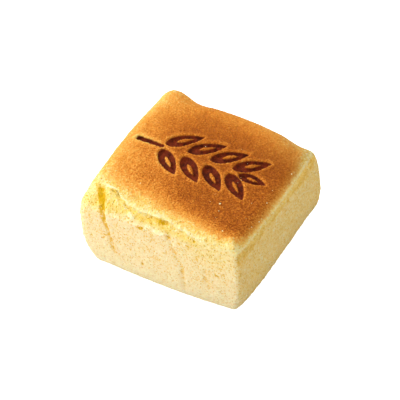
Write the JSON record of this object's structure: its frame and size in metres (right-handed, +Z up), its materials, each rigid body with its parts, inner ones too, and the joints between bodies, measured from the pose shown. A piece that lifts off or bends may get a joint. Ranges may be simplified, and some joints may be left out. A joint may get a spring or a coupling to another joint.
{
  "type": "souffle cake",
  "caption": "Small square block of baked sponge with a browned crowned top, a torn top edge and an ear of grain pressed into the crust.",
  "frame": {"origin": "middle of the underside, on the surface that the cake stands on", "axes": "+X along the slightly longer sides, towards the side whose top edge has a pale ridge; -Y towards the side with the torn seam; +Z up"},
  "size_m": [0.0834, 0.0824, 0.043],
  "materials": {
    "sponge": "soft matt sponge crumb, pale cream at the sides and golden brown on top, with a dark scorched mark"
  },
  "bodies": {
    "root": {"cake": "sponge"}
  },
  "joints": []
}
